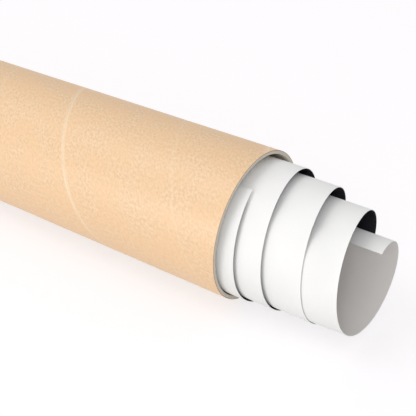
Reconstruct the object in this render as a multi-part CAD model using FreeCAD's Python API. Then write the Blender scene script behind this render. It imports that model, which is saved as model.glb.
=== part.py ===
"""Cardboard mailing tube lying on its side, with a rolled sheet of paper standing out of its open end.

The tube's axis runs along X and its open mouth faces +X. Z is up and the tube lies on Z = 0.
The origin is below the middle of the whole length. Lengths are in millimetres, angles in degrees.
Angles round the axis start at the top and grow towards -Y, the side that the mouth is seen from.
"""
import FreeCAD, Part
import math
import os

# Tube of spiral-wound board
TUBE_LENGTH = 630.0
TUBE_BORE = 76.0
TUBE_WALL = 2.0

# Width of the small flat along the underside, on which the lying tube bears
REST_WIDTH = 4.0

# Butt seam of the outer ply, a shallow groove that winds along the tube
SEAM_LEAD = 122.0
SEAM_WIDTH = 0.8
SEAM_DEPTH = 0.25
SEAM_TOP_TO_MOUTH = 119.0

# Sheet, rolled up along its long side, and how far its hidden edge starts from the plug
SHEET_WIDTH = 600.0
SHEET_THICKNESS = 0.25
ROLL_TURNS = 3.95
OUTER_END_ANGLE = 25.0
ROLL_CLEARANCE = 0.1
ROLL_TO_PLUG = 10.5

# The sheet at each half turn, from its outer end inwards
# How much smaller the turn is than the largest that the bore takes
TURN_INSETS = (5.2, 0.1, 4.4, 3.7, 4.7, 8.7, 6.7, 13.3, 17.7)
# How far the turn has slid out past the sheet's outer end, towards the mouth
TURN_ADVANCES = (0.0, 7.5, 13.5, 24.0, 33.5, 44.5, 51.0, 62.0, 63.5)
STATIONS_PER_TURN = 2

# Centre of the turns: above the bore's axis at the outer end, and how far it falls and shifts inwards
ROLL_LIFT = 0.7
ROLL_SAG = 10.3
ROLL_SHIFT = 1.8

# How far the turns are out of round, and the angle at which they are widest
ROLL_OVAL = 1.1
ROLL_WIDEST_ANGLE = 135.0

# How far each turn leans: its -Y side stands out of the mouth by this much more than its top
ROLL_LEAN = 0.7

# End plug, a moulded cup pushed into the far end up to its flange
PLUG_DEPTH = 24.0
PLUG_WALL = 1.4
PLUG_FLANGE_THICKNESS = 1.8
PLUG_FLANGE_INSET = 0.5
PLUG_BODY_CLEARANCE = 0.7
PLUG_TAPER = 0.6
PLUG_LEAD_IN = 1.5
PLUG_RIM_BEVEL = 0.5
PLUG_CORNER_BEVEL = 1.6

# Sealing ribs round the plug
RIB_COUNT = 3
RIB_PITCH = 5.5
RIB_FIRST = 5.0
RIB_WIDTH = 1.6
RIB_CREST = 0.6
RIB_CLEARANCE = 0.1

# Points per turn that the sheet's curves pass through
POINTS_PER_TURN = 16

# Extra length by which a cutting body passes the face that it cuts
CUT_OVERRUN = 5.0

# Worked out from the values above
BORE_RADIUS = TUBE_BORE / 2
OUTER_RADIUS = BORE_RADIUS + TUBE_WALL
AXIS_HEIGHT = math.sqrt(OUTER_RADIUS**2 - (REST_WIDTH / 2) ** 2)
ALONG = FreeCAD.Vector(1, 0, 0)


def station_value(values, turn):
    """Smooth value at a turn, from the values at the stations, as a cubic with central slopes."""
    last = len(values) - 1
    slopes = [
        (values[min(i + 1, last)] - values[max(i - 1, 0)]) / (min(i + 1, last) - max(i - 1, 0))
        for i in range(len(values))
    ]
    place = turn * STATIONS_PER_TURN
    i = min(int(place), last - 1)
    t = place - i
    return (
        (2 * t**3 - 3 * t**2 + 1) * values[i]
        + (t**3 - 2 * t**2 + t) * slopes[i]
        + (3 * t**2 - 2 * t**3) * values[i + 1]
        + (t**3 - t**2) * slopes[i + 1]
    )


def sheet_turns():
    """Turn counts, from the outer end of the sheet to its inner end, that its curves pass through."""
    count = math.ceil(ROLL_TURNS * POINTS_PER_TURN)
    return [ROLL_TURNS * i / count for i in range(count + 1)]


def sheet_angle(turn):
    """Angle round the axis that the sheet has reached at a turn."""
    return math.radians(OUTER_END_ANGLE + 360 * turn)


def standout(turn):
    """Distance from the tube's mouth out to the sheet's visible edge."""
    outer_end = PLUG_DEPTH + ROLL_TO_PLUG + SHEET_WIDTH - TUBE_LENGTH
    return outer_end + station_value(TURN_ADVANCES, turn) + ROLL_LEAN * math.sin(sheet_angle(turn))


def ease(share):
    """Rises smoothly from 0 to 1."""
    return share**2 * (3 - 2 * share)


def sheet_point(turn, x, depth):
    """Point of the sheet at a turn, at x along the tube, at a depth below the sheet's outer face."""
    angle = sheet_angle(turn)
    oval = ROLL_OVAL * math.cos(2 * (angle - math.radians(ROLL_WIDEST_ANGLE)))
    radius = BORE_RADIUS - ROLL_CLEARANCE - station_value(TURN_INSETS, turn) + oval - depth
    fallen = ease(turn / ROLL_TURNS)
    centre_y = ROLL_SHIFT * fallen
    centre_z = AXIS_HEIGHT + ROLL_LIFT - ROLL_SAG * fallen
    return FreeCAD.Vector(x, centre_y - radius * math.sin(angle), centre_z + radius * math.cos(angle))


# The mouth's place puts the origin under the middle of the whole length
LONGEST_STANDOUT = max(standout(turn) for turn in sheet_turns())
MOUTH_X = (TUBE_LENGTH + PLUG_FLANGE_THICKNESS - LONGEST_STANDOUT) / 2
FAR_END_X = MOUTH_X - TUBE_LENGTH


def axis_point(x):
    return FreeCAD.Vector(x, 0, AXIS_HEIGHT)


def rod(radius, start_x, length):
    return Part.makeCylinder(radius, length, axis_point(start_x), ALONG)


def seam_groove():
    """Thin rectangle swept along a right-handed helix that runs past both ends of the tube."""
    top_x = MOUTH_X - SEAM_TOP_TO_MOUTH
    turns_back = math.ceil((top_x - FAR_END_X + CUT_OVERRUN) / SEAM_LEAD)
    start_x = top_x - turns_back * SEAM_LEAD
    length = MOUTH_X + CUT_OVERRUN - start_x
    helix = Part.makeHelix(SEAM_LEAD, length, OUTER_RADIUS)
    inner = OUTER_RADIUS - SEAM_DEPTH
    outer = OUTER_RADIUS + SEAM_DEPTH
    half = SEAM_WIDTH / 2
    corners = [(inner, -half), (outer, -half), (outer, half), (inner, half), (inner, -half)]
    profile = Part.makePolygon([FreeCAD.Vector(r, 0, along) for r, along in corners])
    groove = Part.Wire(helix.Edges).makePipeShell([profile], True, True)
    # A helix starts on its own +X and winds along its own +Z: these become the tube's top and +X
    upright_to_lying = FreeCAD.Rotation(FreeCAD.Vector(0, 0, 1), FreeCAD.Vector(0, -1, 0), ALONG, "ZXY")
    groove.Placement = FreeCAD.Placement(axis_point(start_x), upright_to_lying)
    return groove


def underside():
    """Everything near the tube that is below the surface that it lies on."""
    length = TUBE_LENGTH + 2 * CUT_OVERRUN
    corner = FreeCAD.Vector(FAR_END_X - CUT_OVERRUN, -OUTER_RADIUS, -CUT_OVERRUN)
    return Part.makeBox(length, 2 * OUTER_RADIUS, CUT_OVERRUN, corner)


def make_tube():
    board = rod(OUTER_RADIUS, FAR_END_X, TUBE_LENGTH).cut(underside())
    bore = rod(BORE_RADIUS, FAR_END_X - CUT_OVERRUN, TUBE_LENGTH + 2 * CUT_OVERRUN)
    return board.cut(bore).cut(seam_groove()).Solids[0]


def sheet_edges(depth, width_back):
    """One face's edge along the spiral, in half-turn lengths, set back from the visible edge along the tube."""
    turns = sheet_turns()
    points = [sheet_point(turn, MOUTH_X + standout(turn) - width_back, depth) for turn in turns]
    curve = Part.BSplineCurve()
    curve.interpolate(Points=points, Parameters=turns)
    count = math.ceil(ROLL_TURNS * STATIONS_PER_TURN)
    breaks = [i / STATIONS_PER_TURN for i in range(count)] + [ROLL_TURNS]
    return [curve.toShape(start, end) for start, end in zip(breaks, breaks[1:])]


def sheet_end(loop, vertex):
    """Straight end face of the sheet, across its thickness."""
    corners = [edge.Vertexes[vertex].Point for edge in loop]
    return Part.Face(Part.makePolygon(corners + corners[:1]))


def make_paper_roll():
    """One sheet: two spiral faces, the long edges that wind like a helix, and the two straight ends."""
    loops = list(
        zip(
            sheet_edges(0, 0),
            sheet_edges(SHEET_THICKNESS, 0),
            sheet_edges(SHEET_THICKNESS, SHEET_WIDTH),
            sheet_edges(0, SHEET_WIDTH),
        )
    )
    faces = [sheet_end(loops[0], 0), sheet_end(loops[-1], -1)]
    for loop in loops:
        faces += [Part.makeRuledSurface(a, b) for a, b in zip(loop, loop[1:] + loop[:1])]
    shell = Part.makeShell(faces)
    shell.sewShape()
    solid = Part.makeSolid(shell)
    if solid.Volume < 0:
        solid.reverse()
    return solid


def plug_outside(depth):
    """Radius of the plug's tapered body at a depth in the tube."""
    return BORE_RADIUS - PLUG_BODY_CLEARANCE - PLUG_TAPER * depth / PLUG_DEPTH


def plug_inside(depth):
    """Radius of the recess in the plug at a depth in the tube."""
    return plug_outside(depth) - PLUG_WALL


def flange_profile():
    """Corners of the flange, from the rim of the recess outwards, as (depth in the tube, radius)."""
    face = -PLUG_FLANGE_THICKNESS
    rim = OUTER_RADIUS - PLUG_FLANGE_INSET
    bevel = min(PLUG_RIM_BEVEL, PLUG_FLANGE_THICKNESS / 3)
    return [
        (face + bevel, plug_inside(0)),
        (face, plug_inside(0) + bevel),
        (face, rim - bevel),
        (face + bevel, rim),
        (0, rim),
        (0, plug_outside(0)),
    ]


def rib_profile(middle):
    """Corners of one sealing rib, whose flat crest runs just clear of the bore."""
    foot = RIB_WIDTH / 2
    crest = RIB_CREST / 2
    return [
        (middle - foot, plug_outside(middle - foot)),
        (middle - crest, BORE_RADIUS - RIB_CLEARANCE),
        (middle + crest, BORE_RADIUS - RIB_CLEARANCE),
        (middle + foot, plug_outside(middle + foot)),
    ]


def floor_profile():
    """Corners of the plug's closed end, from its bevelled tip round to the recess."""
    lead_in = PLUG_DEPTH - PLUG_LEAD_IN
    floor = PLUG_DEPTH - PLUG_WALL
    return [
        (lead_in, plug_outside(lead_in)),
        (PLUG_DEPTH, plug_outside(PLUG_DEPTH) - PLUG_LEAD_IN / 2),
        (PLUG_DEPTH, 0),
        (floor, 0),
        (floor, plug_inside(floor) - PLUG_CORNER_BEVEL),
        (floor - PLUG_CORNER_BEVEL, plug_inside(floor - PLUG_CORNER_BEVEL)),
    ]


def make_end_plug():
    """The plug's half section, turned about the tube's axis."""
    ribs = [rib_profile(RIB_FIRST + i * RIB_PITCH) for i in range(RIB_COUNT)]
    profile = flange_profile() + sum(ribs, []) + floor_profile()
    corners = [FreeCAD.Vector(FAR_END_X + depth, 0, AXIS_HEIGHT + radius) for depth, radius in profile]
    section = Part.Face(Part.makePolygon(corners + corners[:1]))
    return section.revolve(axis_point(0), ALONG, 360).Solids[0]


def main():
    os.makedirs("parts", exist_ok=True)
    nodes = {"tube": make_tube(), "paper_roll": make_paper_roll(), "end_plug": make_end_plug()}
    for name, shape in nodes.items():
        box = shape.BoundBox
        print(name, shape.ShapeType, "valid", shape.isValid(), "volume cm3", round(shape.Volume / 1000, 2))
        print("  x", round(box.XMin, 2), round(box.XMax, 2), "y", round(box.YMin, 2), round(box.YMax, 2))
        print("  z", round(box.ZMin, 2), round(box.ZMax, 2))
        shape.exportStep(f"parts/{name}.step")


main()
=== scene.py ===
"""Looks of a cardboard mailing tube with a rolled sheet of paper standing out of its open mouth.

Everything is in metres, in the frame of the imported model: the tube's axis runs along X, its open mouth
faces +X, Z is up and the tube lies on Z = 0. Angles round the axis start at the top and grow towards -Y.
"""
import math

import bmesh
import bpy
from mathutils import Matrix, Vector, noise


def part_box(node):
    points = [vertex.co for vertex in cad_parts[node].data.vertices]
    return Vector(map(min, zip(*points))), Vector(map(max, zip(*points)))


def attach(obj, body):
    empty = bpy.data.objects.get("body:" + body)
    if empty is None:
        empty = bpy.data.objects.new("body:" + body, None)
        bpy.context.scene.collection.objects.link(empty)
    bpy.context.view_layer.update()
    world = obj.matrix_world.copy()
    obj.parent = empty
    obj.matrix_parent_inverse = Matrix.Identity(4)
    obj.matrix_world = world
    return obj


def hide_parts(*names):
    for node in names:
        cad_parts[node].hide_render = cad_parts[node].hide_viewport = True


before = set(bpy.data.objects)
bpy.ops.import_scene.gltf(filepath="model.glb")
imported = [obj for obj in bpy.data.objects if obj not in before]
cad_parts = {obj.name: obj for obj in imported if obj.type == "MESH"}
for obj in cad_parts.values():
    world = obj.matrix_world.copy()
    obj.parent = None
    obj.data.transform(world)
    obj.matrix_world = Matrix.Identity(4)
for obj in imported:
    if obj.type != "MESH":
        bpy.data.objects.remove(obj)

MM = 0.001
TURN = 2 * math.pi
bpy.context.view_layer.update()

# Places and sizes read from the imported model
TUBE_LOW, TUBE_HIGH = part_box("tube")
PLUG_LOW, PLUG_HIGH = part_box("end_plug")
MOUTH_X = TUBE_HIGH.x
FAR_END_X = TUBE_LOW.x
OUTER_RADIUS = (TUBE_HIGH.y - TUBE_LOW.y) / 2
AXIS_HEIGHT = TUBE_HIGH.z - OUTER_RADIUS

# Board
TUBE_WALL = 2 * MM
BORE_RADIUS = OUTER_RADIUS - TUBE_WALL
PLIES = 5

RIM_CORNER = 0.25 * MM
PLY_STEP = 0.06 * MM
PLY_WANDER = 0.05 * MM
PLY_GROOVE_SHARE = 0.45

# Rings at the board's worn corners as mm behind the rim, mm from the outside or the bore, and mm of wander
OUTER_CORNER_RINGS = ((0.10, 0.04, 0.03), (0.0, 0.16, 0.05))
INNER_CORNER_RINGS = ((0.03, 0.10, 0.03), (0.18, 0.0, 0.0))
BORE_DEPTHS = (2, 6, 14, 30, 60, 120, 240, 360, 480, 560, 600)

# Butt seam of the outer ply, a helix, and the fainter seam of the ply below it
SEAM_LEAD = 122 * MM
SEAM_WIDTH = 0.8 * MM
SEAM_DEPTH = 0.14 * MM
SEAM_TOP_X = MOUTH_X - 119 * MM
UNDER_SEAM_SHARE = 0.58
UNDER_SEAM_WIDTH = 3 * MM
UNDER_SEAM_DEPTH = 0.05 * MM
SEAM_STEPS = (0.0, 0.28, 0.45, 0.65, 0.9, 1.3, 2.2, 4.0)
UNDER_SEAM_STEPS = (-3.5, -2.0, -1.0, 0.0, 1.0, 2.0, 3.5)
SEAM_LIP = 0.05 * MM
SEAM_LIP_PLACE = 2.2
SEAM_WALL_END = 1.6
PLAIN_STEPS_BEFORE = 9
PLAIN_STEPS_AFTER = 7
BOARD_UNEVENNESS = 0.06 * MM

UNEVEN_ALONG = 22
UNEVEN_ROUND = 1.1
CUT_TOLERANCE = 0.002 * MM

# Width of the outer ply's strip, and length of a turn along it and along the innermost ply's, in metres
STRIP_WIDTH = SEAM_LEAD * 0.9
STRIP_TURN = 0.279
INNER_STRIP_TURN = 0.265

# Sheet of paper, rolled up along its long side
SHEET_THICKNESS = 0.25 * MM
ROLL_TURNS = 3.95
OUTER_END_ANGLE = 25
ROLL_CLEARANCE = 0.1 * MM
FIRST_STANDOUT = 4.5 * MM
TURN_INSETS = (5.2, 0.1, 4.4, 3.7, 4.7, 8.7, 6.7, 13.3, 17.7)
TURN_ADVANCES = (0.0, 7.5, 13.5, 24.0, 33.5, 44.5, 51.0, 62.0, 63.5)
STATIONS_PER_TURN = 2
ROLL_LIFT = 0.7 * MM
ROLL_SAG = 10.3 * MM
ROLL_SHIFT = 1.8 * MM
ROLL_OVAL = 1.1 * MM
ROLL_WIDEST_ANGLE = 135
ROLL_LEAN = 0.7 * MM

# On its near side each turn swells back from its edge until it almost meets the turn outside it
SWELL_ANGLE = 88
SWELL_GAPS = (1.5 * MM, 1.6 * MM, 0.35 * MM)
SWELL_FROM = 0.3
SWELL_RISE = 0.6

# The sheet's outer end stands off the turn below it
END_LIFT = 0.8 * MM
END_LIFT_TURN = 0.22

# Turns over which the sheet's inner face is painted near-black, as painted shade for the deep gaps between
# the turns
SHADE_PAINT_FROM_TURN = 0.03
SHADE_PAINT_TO_TURN = 3.28

# Distances in mm back from the sheet's visible edge, close together where it shows
SHOWN_COLUMNS = (0, 0.4, 1.5, 4, 8, 13, 19, 26, 34, 43, 53, 64, 80)
HIDDEN_COLUMNS = (110, 150, 200, 260, 320, 380, 440, 500, 550, 580, 594, 599.6, 600)

# End plug, a moulded cup
PLUG_DEPTH = 24 * MM
PLUG_WALL = 1.4 * MM
PLUG_FLANGE = 1.8 * MM
PLUG_BODY_CLEARANCE = 0.7 * MM
PLUG_TAPER = 0.6 * MM
PLUG_RIM_RADIUS = PLUG_HIGH.y
RIB_CENTRES = (5.0 * MM, 10.5 * MM, 16.0 * MM)
RIB_FOOT = 0.8 * MM
RIB_CLEARANCE = 0.1 * MM
GATE_RADIUS = 1.6 * MM
GATE_HEIGHT = 0.5 * MM
PLUG_ROUNDING = 0.6 * MM
PLUG_FLOOR_STEP = 0.6 * MM
PLUG_INNER_CORNER = 2.2 * MM
PLUG_FLOOR_MARGIN = 1.6 * MM
PLUG_STEP_FOOT = 0.62
PLUG_STEP_TOP = 0.64
PLUG_BEVEL_LENGTH = 1.5 * MM
PLUG_BEVEL_HEIGHT = 0.75 * MM

# Camera of the photograph, from the middle of the tube's mouth
CAMERA_FROM_MOUTH = Vector((0.18552, -0.31278, 0.28612))
CAMERA_DOWN = 32.984
CAMERA_TURN = 34.641
CAMERA_LENS = 74.51
SENSOR = 36

# Vertices round the axis
TUBE_STEPS = 240
SHEET_STEPS_PER_TURN = 96
PLUG_STEPS = 192

# Lamps as name, place, width, height, power and colour, all aimed just inside the mouth
LAMP_TARGET = (MOUTH_X - 0.05, 0, 0.04)
LAMPS = (
    ("key", (-0.3, -1.7, 0.3), 0.9, 0.5, 7, (1.0, 0.985, 0.96)),
    ("top", (-0.45, -0.6, 1.7), 1.0, 0.8, 5, (1.0, 0.99, 0.98)),
    ("mouth", (0.9, -1.2, 0.8), 0.5, 0.5, 3.0, (1.0, 0.98, 0.97)),
)
WORLD_LIGHT = 0.68
FLOOR_GLOW = 0.65
FLOOR_HALF_SIZE = 40
FLOOR_DROP = 0.2 * MM
SHARP_ANGLE = 40


def link(obj):
    bpy.context.scene.collection.objects.link(obj)
    return obj


def mesh_object(name, bm, materials):
    """New object from a bmesh, smooth apart from its sharp edges."""
    bmesh.ops.recalc_face_normals(bm, faces=bm.faces)
    mesh = bpy.data.meshes.new(name)
    bm.to_mesh(mesh)
    bm.free()
    for material in materials:
        mesh.materials.append(material)
    mesh.polygons.foreach_set("use_smooth", [True] * len(mesh.polygons))
    mesh.set_sharp_from_angle(angle=math.radians(SHARP_ANGLE))
    return link(bpy.data.objects.new(name, mesh))


def round_axis(x, radius, angle):
    """Point at x along the tube, at a radius from its axis and an angle from the top towards -Y."""
    return Vector((x, -radius * math.sin(angle), AXIS_HEIGHT + radius * math.cos(angle)))


def angle_of(vertex):
    return math.atan2(-vertex.co.y, vertex.co.z - AXIS_HEIGHT) % TURN


# Shader helpers
class Nodes:
    """A material's node tree, with short calls that make and join its nodes."""

    def __init__(self, name):
        self.material = bpy.data.materials.new(name)
        self.material.use_nodes = True
        self.tree = self.material.node_tree
        self.tree.nodes.clear()
        self.output = self.add("ShaderNodeOutputMaterial")

    def add(self, kind, **settings):
        node = self.tree.nodes.new(kind)
        for name, value in settings.items():
            setattr(node, name, value)
        return node

    def put(self, socket, value):
        """Links an output to the socket, or sets a plain value on it."""
        if isinstance(value, bpy.types.NodeSocket):
            self.tree.links.new(value, socket)
        else:
            socket.default_value = value

    def math(self, operation, *values):
        node = self.add("ShaderNodeMath", operation=operation)
        for socket, value in zip(node.inputs, values):
            self.put(socket, value)
        return node.outputs[0]

    def place(self):
        """The point in the model's frame."""
        return self.add("ShaderNodeTexCoord").outputs["Object"]

    def position(self):
        """The point's x, y and z in the model's frame."""
        split = self.add("ShaderNodeSeparateXYZ")
        self.put(split.inputs[0], self.place())
        return split.outputs

    def vector(self, x, y, z):
        node = self.add("ShaderNodeCombineXYZ")
        for socket, value in zip(node.inputs, (x, y, z)):
            self.put(socket, value)
        return node.outputs[0]

    def noise(self, vector, scale, detail=2, roughness=0.5, distortion=0):
        node = self.add("ShaderNodeTexNoise")
        self.put(node.inputs["Vector"], vector)
        self.put(node.inputs["Scale"], scale)
        self.put(node.inputs["Detail"], detail)
        self.put(node.inputs["Roughness"], roughness)
        self.put(node.inputs["Distortion"], distortion)
        return node.outputs["Fac"]

    def ramp(self, value, low, high, out_low=0, out_high=1, smooth=True):
        """Maps a range of values onto another, held at its ends."""
        node = self.add("ShaderNodeMapRange", interpolation_type="SMOOTHSTEP" if smooth else "LINEAR")
        for socket, number in zip(node.inputs, (value, low, high, out_low, out_high)):
            self.put(socket, number)
        return node.outputs[0]

    def mix(self, share, first, second, blend="MIX"):
        node = self.add("ShaderNodeMix", data_type="RGBA", blend_type=blend)
        self.put(node.inputs["Factor"], share)
        self.put(node.inputs["A"], first)
        self.put(node.inputs["B"], second)
        return node.outputs["Result"]

    def bump(self, height, distance, strength=1.0, normal=None):
        node = self.add("ShaderNodeBump")
        self.put(node.inputs["Strength"], strength)
        self.put(node.inputs["Distance"], distance)
        self.put(node.inputs["Height"], height)
        if normal is not None:
            self.put(node.inputs["Normal"], normal)
        return node.outputs[0]

    def surface(self, color, roughness, specular=0.5, normal=None):
        """Finishes the material with one principled surface."""
        shader = self.add("ShaderNodeBsdfPrincipled")
        self.put(shader.inputs["Base Color"], color)
        self.put(shader.inputs["Roughness"], roughness)
        self.put(shader.inputs["Specular IOR Level"], specular)
        if normal is not None:
            self.put(shader.inputs["Normal"], normal)
        self.put(self.output.inputs["Surface"], shader.outputs[0])
        return self.material


def rgb(red, green, blue):
    return (red, green, blue, 1)


# Board
def strip_coordinates(nodes, seam_x):
    """Shares across and along a ply's strip, which run on without a break away from its seam."""
    x, y, z = nodes.position()
    up = nodes.math("SUBTRACT", z, AXIS_HEIGHT)
    turn = nodes.math("DIVIDE", nodes.math("ARCTAN2", nodes.math("MULTIPLY", y, -1), up), TURN)
    lead = nodes.math("DIVIDE", nodes.math("SUBTRACT", x, seam_x), SEAM_LEAD)
    wound = nodes.math("SUBTRACT", lead, turn)
    across = nodes.math("FRACT", wound)
    along = nodes.math("ADD", turn, nodes.math("FLOOR", wound))
    return across, along


def kraft_material():
    """Brown paper ply: soft clouds, fine fibres along the strip, a few darker flecks, a pale seam, and a
    painted highlight over the buried seam of the ply below.
    """
    nodes = Nodes("kraft_outside")
    dark, light, warm = rgb(0.800, 0.525, 0.295), rgb(0.925, 0.665, 0.415), rgb(0.900, 0.585, 0.320)
    fibre, fleck, seam_tone_and_painted_highlight = rgb(0.92, 0.72, 0.52), rgb(0.60, 0.38, 0.21), rgb(0.95, 0.80, 0.60)
    across, along = strip_coordinates(nodes, SEAM_TOP_X)
    wide = nodes.math("MULTIPLY", across, STRIP_WIDTH)
    long = nodes.math("MULTIPLY", along, STRIP_TURN)
    flat = nodes.vector(wide, long, 0)
    grain = nodes.vector(wide, nodes.math("MULTIPLY", long, 0.7), 0)
    clouds = nodes.noise(flat, 60, detail=3)
    mottle = nodes.noise(grain, 800, detail=4, roughness=0.65)
    fibres = nodes.noise(grain, 1500, detail=3, roughness=0.6, distortion=0.4)
    flecks = nodes.noise(grain, 900, detail=1)
    color = nodes.mix(nodes.ramp(mottle, 0.36, 0.64), dark, light)
    color = nodes.mix(nodes.ramp(clouds, 0.35, 0.65, 0, 0.5), color, warm)
    color = nodes.mix(nodes.ramp(fibres, 0.56, 0.72, 0, 0.25), color, fibre)
    color = nodes.mix(nodes.ramp(flecks, 0.66, 0.76, 0, 0.4), color, fleck)
    from_seam = nodes.math("MINIMUM", wide, nodes.math("SUBTRACT", STRIP_WIDTH, wide))
    seam = nodes.ramp(from_seam, SEAM_WIDTH * 0.4, SEAM_WIDTH * 2.2, 0.42, 0)
    color = nodes.mix(seam, color, seam_tone_and_painted_highlight)
    # Painted highlight: a faint pale line over the buried seam of the ply below, standing in for light on its
    # shallow dent
    from_under = nodes.math("ABSOLUTE", nodes.math("SUBTRACT", across, UNDER_SEAM_SHARE))
    under = nodes.ramp(from_under, 0.002, 0.012, 0.12, 0)
    color = nodes.mix(under, color, seam_tone_and_painted_highlight)
    normal = nodes.bump(mottle, 0.05 * MM, 0.4)
    normal = nodes.bump(fibres, 0.03 * MM, 0.5, normal)
    roughness = nodes.ramp(mottle, 0.3, 0.7, 0.42, 0.50)
    return nodes.surface(color, roughness, specular=1.0, normal=normal)


def board_edge_material():
    """Sawn end of the board: rings of glued plies under a brown outer one, with a fuzzy grain."""
    nodes = Nodes("board_edge")
    dark, light, glue_line, brown = (
        rgb(0.58, 0.535, 0.46),
        rgb(0.76, 0.72, 0.65),
        rgb(0.24, 0.205, 0.16),
        rgb(0.42, 0.27, 0.155),
    )
    _, y, z = nodes.position()
    up = nodes.math("SUBTRACT", z, AXIS_HEIGHT)
    squares = nodes.math("ADD", nodes.math("MULTIPLY", y, y), nodes.math("MULTIPLY", up, up))
    radius = nodes.math("SQRT", squares)
    depth = nodes.math("DIVIDE", nodes.math("SUBTRACT", OUTER_RADIUS, radius), TUBE_WALL)
    place = nodes.place()
    wander = nodes.math("MULTIPLY", nodes.math("SUBTRACT", nodes.noise(place, 300, detail=3), 0.5), 0.14)
    ply = nodes.math("FRACT", nodes.math("MULTIPLY", nodes.math("ADD", depth, wander), PLIES))
    glue = nodes.ramp(nodes.math("ABSOLUTE", nodes.math("SUBTRACT", ply, 0.5)), 0.30, 0.5, 0, 0.55)
    fuzz = nodes.noise(place, 2600, detail=3, roughness=0.7)
    color = nodes.mix(nodes.ramp(fuzz, 0.3, 0.7), dark, light)
    color = nodes.mix(glue, color, glue_line)
    skin = nodes.ramp(depth, 0.10, 0.24, 1, 0)
    color = nodes.mix(skin, color, brown)
    normal = nodes.bump(fuzz, 0.10 * MM, 0.8)
    return nodes.surface(color, 0.85, specular=0.2, normal=normal)


def board_inside_material():
    """Grey recycled board of the bore, with specks and a faint fibre grain."""
    nodes = Nodes("board_inside")
    dark, light, speck = rgb(0.60, 0.545, 0.465), rgb(0.72, 0.665, 0.58), rgb(0.24, 0.21, 0.18)
    across, along = strip_coordinates(nodes, 0.0)
    wide = nodes.math("MULTIPLY", across, SEAM_LEAD)
    long = nodes.math("MULTIPLY", along, INNER_STRIP_TURN)
    grain = nodes.vector(wide, nodes.math("MULTIPLY", long, 0.4), 0)
    fuzz = nodes.noise(grain, 900, detail=4, roughness=0.7)
    specks = nodes.noise(grain, 1700, detail=1)
    color = nodes.mix(nodes.ramp(fuzz, 0.35, 0.65), dark, light)
    color = nodes.mix(nodes.ramp(specks, 0.68, 0.76, 0, 0.5), color, speck)
    normal = nodes.bump(fuzz, 0.06 * MM, 0.6)
    return nodes.surface(color, 0.8, specular=0.25, normal=normal)


def seam_relief(across):
    """How far the outer ply stands in or out at a distance across its strip."""
    from_seam = min(across, SEAM_LEAD - across)
    half = SEAM_WIDTH / 2
    groove = SEAM_DEPTH * max(0.0, min(1.0, SEAM_WALL_END - from_seam / half))
    lip = SEAM_LIP * math.exp(-(((from_seam - SEAM_LIP_PLACE * half) / half) ** 2))
    under = (across - UNDER_SEAM_SHARE * SEAM_LEAD) / (UNDER_SEAM_WIDTH / 2)
    return lip - groove - UNDER_SEAM_DEPTH * math.exp(-(under**2))


def seam_columns():
    """Places across the strip, close together at the seams and wide apart between them."""
    edge = [step * MM for step in SEAM_STEPS]
    under = [UNDER_SEAM_SHARE * SEAM_LEAD + step * MM for step in UNDER_SEAM_STEPS]
    left, right = edge[-1], SEAM_LEAD - edge[-1]
    before = [left + (under[0] - left) * i / PLAIN_STEPS_BEFORE for i in range(1, PLAIN_STEPS_BEFORE)]
    after = [under[-1] + (right - under[-1]) * i / PLAIN_STEPS_AFTER for i in range(1, PLAIN_STEPS_AFTER)]
    return edge + before + under + after + [SEAM_LEAD - value for value in reversed(edge[1:])]


def board_skin(bm, steps):
    """The outer ply as strips between its seams, cut off square at both ends of the tube."""
    columns = seam_columns()
    first = math.floor((FAR_END_X - SEAM_TOP_X) / SEAM_LEAD) - 1
    last = math.ceil((MOUTH_X - SEAM_TOP_X) / SEAM_LEAD) + 1
    rows = (last - first) * steps + 1
    grid = []
    for row in range(rows):
        wound = first + row / steps
        angle = TURN * wound
        start = SEAM_TOP_X + SEAM_LEAD * wound
        line = []
        for across in columns:
            x = start + across
            place = round_axis(x, 1.0, angle)
            up = place.z - AXIS_HEIGHT
            uneven = noise.noise(Vector((x * UNEVEN_ALONG, place.y * UNEVEN_ROUND, up * UNEVEN_ROUND)))
            radius = OUTER_RADIUS + seam_relief(across) + BOARD_UNEVENNESS * (uneven - 0.5)
            line.append(bm.verts.new(round_axis(x, radius, angle)))
        grid.append(line)
    for row in range(rows - steps):
        grid[row][-1] = grid[row + steps][0]
    for row in range(rows - 1 - steps):
        for column in range(len(columns) - 1):
            a, b = grid[row], grid[row + 1]
            bm.faces.new((a[column], b[column], b[column + 1], a[column + 1]))
    loose = [v for v in bm.verts if not v.link_faces]
    bmesh.ops.delete(bm, geom=loose, context="VERTS")


def cut_square(bm, x, direction):
    """Cuts the skin at x, throws away what lies beyond it and gives its new rim, in order round the axis."""
    found = bmesh.ops.bisect_plane(
        bm,
        geom=bm.verts[:] + bm.edges[:] + bm.faces[:],
        dist=CUT_TOLERANCE,
        plane_co=(x, 0, 0),
        plane_no=(direction, 0, 0),
        clear_outer=True,
    )
    rim = [item for item in found["geom_cut"] if isinstance(item, bmesh.types.BMVert)]
    return sorted(rim, key=angle_of)


def ring(bm, x, radius, steps, wander=0.0):
    """Ring of vertices round the axis, its edge a little uneven where wander isn't 0."""
    made = []
    for i in range(steps):
        angle = TURN * i / steps
        place = round_axis(x, radius, angle)
        shake = wander * noise.noise(place * 900)
        made.append(bm.verts.new(round_axis(x + shake, radius, angle)))
    return made


def stitch(bm, first, second, slot):
    """Fills the band between two rings of vertices, each in order round the axis."""
    i = j = 0
    while i < len(first) or j < len(second):
        next_i = angle_of(first[i]) if i < len(first) else 2 * TURN
        next_j = angle_of(second[j]) if j < len(second) else 2 * TURN
        a, b = first[i - 1], second[j - 1]
        if next_i <= next_j:
            corner = first[i]
            i += 1
        else:
            corner = second[j]
            j += 1
        bm.faces.new((a, b, corner)).material_index = slot


def band(bm, first, second, slot):
    """Quads between two rings with the same number of vertices."""
    count = len(first)
    for i in range(count):
        k = (i + 1) % count
        bm.faces.new((first[i], first[k], second[k], second[i])).material_index = slot


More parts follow.
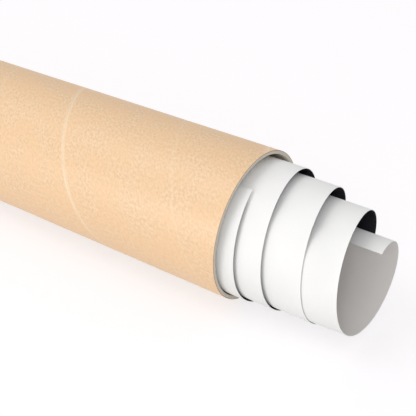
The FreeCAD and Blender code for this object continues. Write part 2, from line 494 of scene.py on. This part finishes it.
def rim_rings(bm, x, inwards, steps):
    """Rings over the sawn end of the board, outer edge to bore: worn corners and uneven plies."""
    rings = [
        ring(bm, x + inwards * back * MM, OUTER_RADIUS - below * MM, steps, wander * MM)
        for back, below, wander in OUTER_CORNER_RINGS
    ]
    ply = TUBE_WALL / PLIES
    for i in range(1, PLIES):
        boundary = OUTER_RADIUS - ply * i
        rings.append(ring(bm, x + inwards * PLY_STEP, boundary, steps, PLY_WANDER))
        rings.append(ring(bm, x, boundary - PLY_GROOVE_SHARE * ply, steps, PLY_WANDER))
    for back, above, wander in INNER_CORNER_RINGS:
        rings.append(ring(bm, x + inwards * back * MM, BORE_RADIUS + above * MM, steps, wander * MM))
    return rings


def make_tube(materials):
    bm = bmesh.new()
    board_skin(bm, TUBE_STEPS)
    mouth_rim = cut_square(bm, MOUTH_X - RIM_CORNER, 1)
    far_rim = cut_square(bm, FAR_END_X + RIM_CORNER, -1)
    mouth = rim_rings(bm, MOUTH_X, -1, TUBE_STEPS)
    far = rim_rings(bm, FAR_END_X, 1, TUBE_STEPS)
    stitch(bm, mouth_rim, mouth[0], 0)
    stitch(bm, far_rim, far[0], 0)
    for rings in (mouth, far):
        for a, b in zip(rings, rings[1:]):
            band(bm, a, b, 1)
    middle = [ring(bm, MOUTH_X - depth * MM, BORE_RADIUS, TUBE_STEPS) for depth in BORE_DEPTHS]
    bore = [mouth[-1]] + middle + [far[-1]]
    for a, b in zip(bore, bore[1:]):
        band(bm, a, b, 2)
    for vertex in bm.verts:
        vertex.co.z = max(vertex.co.z, 0.0)
    tube = mesh_object("mailing_tube", bm, materials)
    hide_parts("tube")
    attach(tube, "tube_body")


# Sheet of paper
def station_value(values, turn):
    """Smooth value at a turn, from the values at the stations, as a cubic with central slopes."""
    last = len(values) - 1
    slopes = [
        (values[min(i + 1, last)] - values[max(i - 1, 0)]) / (min(i + 1, last) - max(i - 1, 0))
        for i in range(len(values))
    ]
    place = turn * STATIONS_PER_TURN
    i = min(int(place), last - 1)
    t = place - i
    return (
        (2 * t**3 - 3 * t**2 + 1) * values[i]
        + (t**3 - 2 * t**2 + t) * slopes[i]
        + (3 * t**2 - 2 * t**3) * values[i + 1]
        + (t**3 - t**2) * slopes[i + 1]
    )


def sheet_angle(turn):
    return math.radians(OUTER_END_ANGLE) + TURN * turn


def turn_radius(turn):
    oval = ROLL_OVAL * math.cos(2 * (sheet_angle(turn) - math.radians(ROLL_WIDEST_ANGLE)))
    return BORE_RADIUS - ROLL_CLEARANCE - station_value(TURN_INSETS, turn) * MM + oval


def turn_centre(turn):
    """How far the centre of a turn is from the bore's axis, along Y and Z."""
    share = turn / ROLL_TURNS
    fallen = ease(share)
    return ROLL_SHIFT * fallen, ROLL_LIFT - ROLL_SAG * fallen


def standout(turn):
    """Distance from the tube's mouth out to the sheet's visible edge."""
    return FIRST_STANDOUT + station_value(TURN_ADVANCES, turn) * MM + ROLL_LEAN * math.sin(sheet_angle(turn))


def ease(share):
    """Rises smoothly from 0 to 1, and stays at either end."""
    share = max(0.0, min(1.0, share))
    return share**2 * (3 - 2 * share)


def swell(turn, back):
    """How far a turn stands out behind its edge, towards the turn that lies outside it."""
    if turn < 1:
        return END_LIFT * (1 - ease(turn / END_LIFT_TURN))
    angle = sheet_angle(turn)
    outer_y, outer_z = turn_centre(turn - 1)
    centre_y, centre_z = turn_centre(turn)
    apart = (centre_y - outer_y) * math.sin(angle) + (outer_z - centre_z) * math.cos(angle)
    gap = turn_radius(turn - 1) - SHEET_THICKNESS - turn_radius(turn) + apart
    wanted = SWELL_GAPS[min(int(angle / TURN + 0.25), len(SWELL_GAPS)) - 1]
    near_side = ease((math.cos(angle - math.radians(SWELL_ANGLE)) - SWELL_FROM) / SWELL_RISE)
    return max(0.0, gap - wanted) * near_side * ease(back / (standout(turn) - standout(turn - 1)))


def sheet_point(turn, back, depth):
    """Point of the sheet at a turn, set back from its visible edge, at a depth below its outer face."""
    angle = sheet_angle(turn)
    radius = turn_radius(turn) + swell(turn, back) - depth
    centre_y, centre_z = turn_centre(turn)
    x = MOUTH_X + standout(turn) - back
    return Vector((x, centre_y - radius * math.sin(angle), AXIS_HEIGHT + centre_z + radius * math.cos(angle)))


def paper_side(name, colours, clouds, detail, roughness, specular, tooth_strength):
    """Smooth coated paper in soft clouds of two colours, with a faint tooth."""
    nodes = Nodes(name)
    place = nodes.place()
    tooth = nodes.noise(place, 2200, detail=3, roughness=0.6)
    cloud = nodes.noise(place, clouds, detail=detail)
    color = nodes.mix(nodes.ramp(cloud, 0.3, 0.7), *colours)
    normal = nodes.bump(tooth, 0.02 * MM, tooth_strength)
    low, high = roughness
    gloss = low if low == high else nodes.ramp(tooth, 0.3, 0.7, low, high)
    return nodes.surface(color, gloss, specular=specular, normal=normal)


def paper_materials():
    """White outer side, and the inner side: near-black painted shade over the turns that lie in the deep gaps
    between turns, and its plain pale, warm grey paper at both ends.
    """
    white = (rgb(0.925, 0.925, 0.92), rgb(0.945, 0.945, 0.94))
    # Near-black painted shade for the inner face where it lies in the gaps between turns
    dark = (rgb(0.010, 0.009, 0.013), rgb(0.019, 0.017, 0.025))
    pale = (rgb(0.905, 0.870, 0.840), rgb(0.930, 0.900, 0.875))
    return [
        paper_side("paper_white", white, 60, 2, (0.55, 0.55), 0.35, 0.4),
        # Second material: the near-black painted shade of the inner face
        paper_side("paper_inner_painted_shade", dark, 35, 3, (0.40, 0.50), 0.4, 0.3),
        paper_side("paper_pale", pale, 40, 2, (0.6, 0.6), 0.3, 0.4),
    ]


def make_sheet(materials):
    """One sheet with thickness: outer face, inner face with near-black painted shade over most turns and pale
    paper at its ends, and the narrow faces round its edge.
    """
    rows = math.ceil(ROLL_TURNS * SHEET_STEPS_PER_TURN)
    columns = [value * MM for value in SHOWN_COLUMNS + HIDDEN_COLUMNS]
    bm = bmesh.new()
    faces = []
    for depth in (0.0, SHEET_THICKNESS):
        faces.append(
            [
                [bm.verts.new(sheet_point(ROLL_TURNS * i / rows, back, depth)) for back in columns]
                for i in range(rows + 1)
            ]
        )
    outer, inner = faces
    for i in range(rows):
        turn = ROLL_TURNS * (i + 0.5) / rows
        # Inner faces on these turns get the near-black painted shade, the rest the pale paper
        in_painted_shade = SHADE_PAINT_FROM_TURN < turn < SHADE_PAINT_TO_TURN
        for k in range(len(columns) - 1):
            bm.faces.new((outer[i][k], outer[i][k + 1], outer[i + 1][k + 1], outer[i + 1][k]))
            side = bm.faces.new((inner[i][k], inner[i + 1][k], inner[i + 1][k + 1], inner[i][k + 1]))
            side.material_index = 1 if in_painted_shade else 2
        for k in (0, -1):
            bm.faces.new((outer[i][k], outer[i + 1][k], inner[i + 1][k], inner[i][k]))
    for i in (0, -1):
        for k in range(len(columns) - 1):
            bm.faces.new((outer[i][k], outer[i][k + 1], inner[i][k + 1], inner[i][k]))
    sheet = mesh_object("rolled_sheet", bm, materials)
    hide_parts("paper_roll")
    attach(sheet, "tube_body")


# End plug
def plug_material():
    """Off-white moulded plastic with a fine satin texture."""
    nodes = Nodes("plug_plastic")
    place = nodes.place()
    grain = nodes.noise(place, 1800, detail=2)
    flow = nodes.noise(place, 55, detail=2)
    color = nodes.mix(nodes.ramp(flow, 0.3, 0.7), rgb(0.80, 0.80, 0.775), rgb(0.85, 0.85, 0.83))
    roughness = nodes.ramp(grain, 0.3, 0.7, 0.36, 0.46)
    normal = nodes.bump(grain, 0.03 * MM, 0.35)
    return nodes.surface(color, roughness, specular=0.5, normal=normal)


def rounded(corners, radius, steps=4):
    """The same line of points with each corner rounded, as arcs that touch both of its sides."""
    points = [corners[0]]
    for before, corner, after in zip(corners, corners[1:], corners[2:]):
        corner = Vector(corner)
        back, on = Vector(before) - corner, Vector(after) - corner
        cut = min(radius, back.length * 0.45, on.length * 0.45)
        start, end = corner + back.normalized() * cut, corner + on.normalized() * cut
        for i in range(steps + 1):
            t = i / steps
            points.append(tuple(start * (1 - t) ** 2 + corner * 2 * t * (1 - t) + end * t**2))
    return points + [corners[-1]]


def plug_outside(depth):
    return BORE_RADIUS - PLUG_BODY_CLEARANCE - PLUG_TAPER * depth / PLUG_DEPTH


def plug_profile():
    """Half section as (depth in the tube, radius): gate mark, recess, flange, ribbed body and closed tip."""
    floor = PLUG_DEPTH - PLUG_WALL
    inside = plug_outside(0) - PLUG_WALL
    corners = [
        (floor - GATE_HEIGHT, 0.0),
        (floor - GATE_HEIGHT, GATE_RADIUS * 0.8),
        (floor, GATE_RADIUS),
        (floor, inside * PLUG_STEP_FOOT),
        (floor - PLUG_FLOOR_STEP, inside * PLUG_STEP_TOP),
        (floor - PLUG_FLOOR_STEP, plug_outside(floor) - PLUG_WALL - PLUG_FLOOR_MARGIN),
        (floor - PLUG_INNER_CORNER, plug_outside(floor) - PLUG_WALL),
        (-PLUG_FLANGE, inside),
        (-PLUG_FLANGE, PLUG_RIM_RADIUS),
        (0.0, PLUG_RIM_RADIUS),
        (0.0, plug_outside(0)),
    ]
    for centre in RIB_CENTRES:
        corners += [
            (centre - RIB_FOOT, plug_outside(centre - RIB_FOOT)),
            (centre, BORE_RADIUS - RIB_CLEARANCE),
            (centre + RIB_FOOT, plug_outside(centre + RIB_FOOT)),
        ]
    corners += [
        (PLUG_DEPTH - PLUG_BEVEL_LENGTH, plug_outside(PLUG_DEPTH - PLUG_BEVEL_LENGTH)),
        (PLUG_DEPTH, plug_outside(PLUG_DEPTH) - PLUG_BEVEL_HEIGHT),
        (PLUG_DEPTH, 0.0),
    ]
    return rounded(corners, PLUG_ROUNDING)


def make_plug(material):
    """The half section turned about the tube's axis."""
    bm = bmesh.new()
    profile = plug_profile()
    middle = [bm.verts.new(round_axis(FAR_END_X + depth, 0.0, 0.0)) for depth, _ in (profile[0], profile[-1])]
    rings = [ring(bm, FAR_END_X + depth, radius, PLUG_STEPS) for depth, radius in profile[1:-1]]
    for a, b in zip(rings, rings[1:]):
        band(bm, a, b, 0)
    for point, edge in zip(middle, (rings[0], rings[-1])):
        for i in range(PLUG_STEPS):
            bm.faces.new((point, edge[i], edge[(i + 1) % PLUG_STEPS]))
    plug = mesh_object("moulded_plug", bm, [material])
    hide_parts("end_plug")
    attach(plug, "plug")


# Studio
def floor_material():
    """White sweep that shows white to the camera and keeps soft shadows."""
    nodes = Nodes("studio_floor")
    path = nodes.add("ShaderNodeLightPath")
    seen = nodes.math("MAXIMUM", path.outputs["Is Camera Ray"], path.outputs["Is Glossy Ray"])
    seen = nodes.math("MAXIMUM", seen, path.outputs["Is Transmission Ray"])
    diffuse = nodes.add("ShaderNodeBsdfDiffuse")
    nodes.put(diffuse.inputs["Color"], nodes.mix(seen, rgb(0.75, 0.75, 0.75), rgb(0.42, 0.40, 0.42)))
    glow = nodes.add("ShaderNodeEmission")
    nodes.put(glow.inputs["Strength"], nodes.math("MULTIPLY", seen, FLOOR_GLOW))
    both = nodes.add("ShaderNodeAddShader")
    nodes.put(both.inputs[0], diffuse.outputs[0])
    nodes.put(both.inputs[1], glow.outputs[0])
    nodes.put(nodes.output.inputs["Surface"], both.outputs[0])
    return nodes.material


def make_floor():
    bm = bmesh.new()
    bmesh.ops.create_grid(bm, x_segments=2, y_segments=2, size=FLOOR_HALF_SIZE)
    floor = mesh_object("floor", bm, [floor_material()])
    floor.location.z = -FLOOR_DROP


def area_light(name, place, width, height, power, color):
    lamp = bpy.data.lights.new(name, "AREA")
    lamp.shape = "RECTANGLE"
    lamp.size = width
    lamp.size_y = height
    lamp.energy = power
    lamp.color = color
    obj = link(bpy.data.objects.new(name, lamp))
    obj.location = place
    obj.rotation_euler = (Vector(LAMP_TARGET) - Vector(place)).to_track_quat("-Z", "Y").to_euler()


def make_world():
    """Even white surroundings, pure white where the camera or a reflection sees them."""
    world = bpy.data.worlds.new("studio")
    bpy.context.scene.world = world
    world.use_nodes = True
    tree = world.node_tree
    tree.nodes.clear()
    output = tree.nodes.new("ShaderNodeOutputWorld")
    background = tree.nodes.new("ShaderNodeBackground")
    background.inputs["Color"].default_value = rgb(1.0, 1.0, 1.0)
    path = tree.nodes.new("ShaderNodeLightPath")
    strength = tree.nodes.new("ShaderNodeMapRange")
    strength.inputs["To Min"].default_value = WORLD_LIGHT
    strength.inputs["To Max"].default_value = 1.0
    tree.links.new(path.outputs["Is Camera Ray"], strength.inputs["Value"])
    tree.links.new(strength.outputs[0], background.inputs["Strength"])
    tree.links.new(background.outputs[0], output.inputs["Surface"])


def make_camera():
    camera = bpy.data.cameras.new("photo_camera")
    camera.lens = CAMERA_LENS
    camera.sensor_width = SENSOR
    camera.clip_start = 0.01
    camera.clip_end = 50
    obj = link(bpy.data.objects.new("photo_camera", camera))
    obj.location = Vector((MOUTH_X, 0, 0)) + CAMERA_FROM_MOUTH
    obj.rotation_euler = (math.radians(90 - CAMERA_DOWN), 0, math.radians(CAMERA_TURN))
    bpy.context.scene.camera = obj


bpy.context.scene.view_settings.view_transform = "Standard"
make_camera()
make_world()
for lamp_values in LAMPS:
    area_light(*lamp_values)
make_floor()
make_tube([kraft_material(), board_edge_material(), board_inside_material()])
make_sheet(paper_materials())
make_plug(plug_material())
